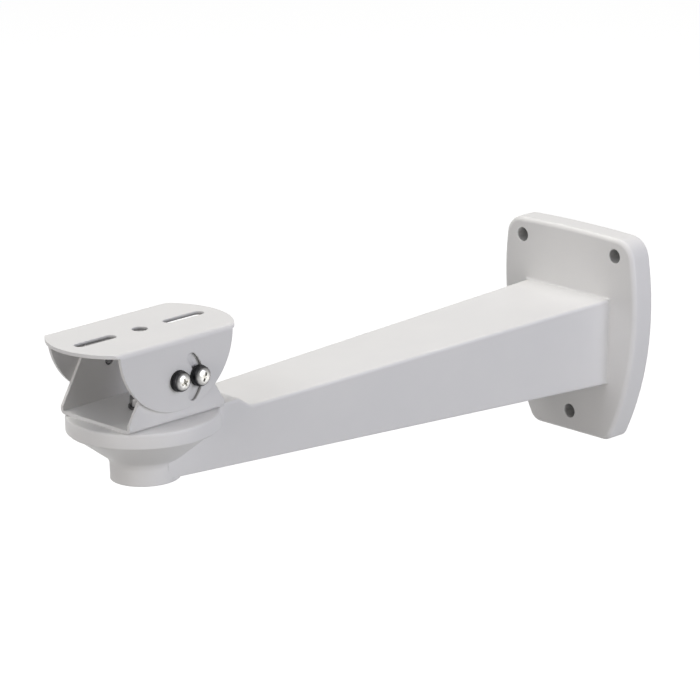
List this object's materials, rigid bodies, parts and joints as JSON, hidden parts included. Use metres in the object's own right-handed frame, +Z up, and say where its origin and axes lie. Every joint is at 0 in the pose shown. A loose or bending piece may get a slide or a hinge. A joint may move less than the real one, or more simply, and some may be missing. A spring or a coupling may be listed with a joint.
{
  "type": "camera wall bracket",
  "caption": "Wall bracket for a camera: a tapered hollow arm on a screw-down plate, with a swivel channel and a slotted tilting saddle on a round head pad.",
  "frame": {"origin": "midpoint between the two upper wall-screw holes, on the wall plane at the back of the plate", "axes": "+Z up, -Y out of the wall along the arm to the head, +X across the plate; X = 0 is the plane of symmetry"},
  "size_m": [0.1086, 0.4042, 0.1379],
  "materials": {
    "white_coat": "off-white powder coat, fine texture, low sheen",
    "bright_steel": "bright stainless steel",
    "black_steel": "black oxide on steel"
  },
  "bodies": {
    "arm": {"wall_arm": "white_coat", "swivel_bolt": "bright_steel", "swivel_washer": "black_steel", "swivel_nut": "bright_steel"},
    "channel": {"swivel_channel": "white_coat", "pivot_washer_right": "bright_steel", "pivot_screw_right": "bright_steel", "clamp_washer_right": "bright_steel", "clamp_screw_right": "bright_steel", "pivot_washer_left": "bright_steel", "pivot_screw_left": "bright_steel", "clamp_washer_left": "bright_steel", "clamp_screw_left": "bright_steel"},
    "saddle": {"tilt_saddle": "white_coat"}
  },
  "joints": [
    {"name": "pan", "type": "hinge", "parent": "arm", "child": "channel", "pos_m": [0, -0.35, -0.0255], "axis": [0, 0, 1], "continuous": true},
    {"name": "tilt", "type": "hinge", "parent": "channel", "child": "saddle", "pos_m": [0, -0.35, -0.002], "axis": [1, 0, 0], "range_deg": [-40, 40]}
  ]
}
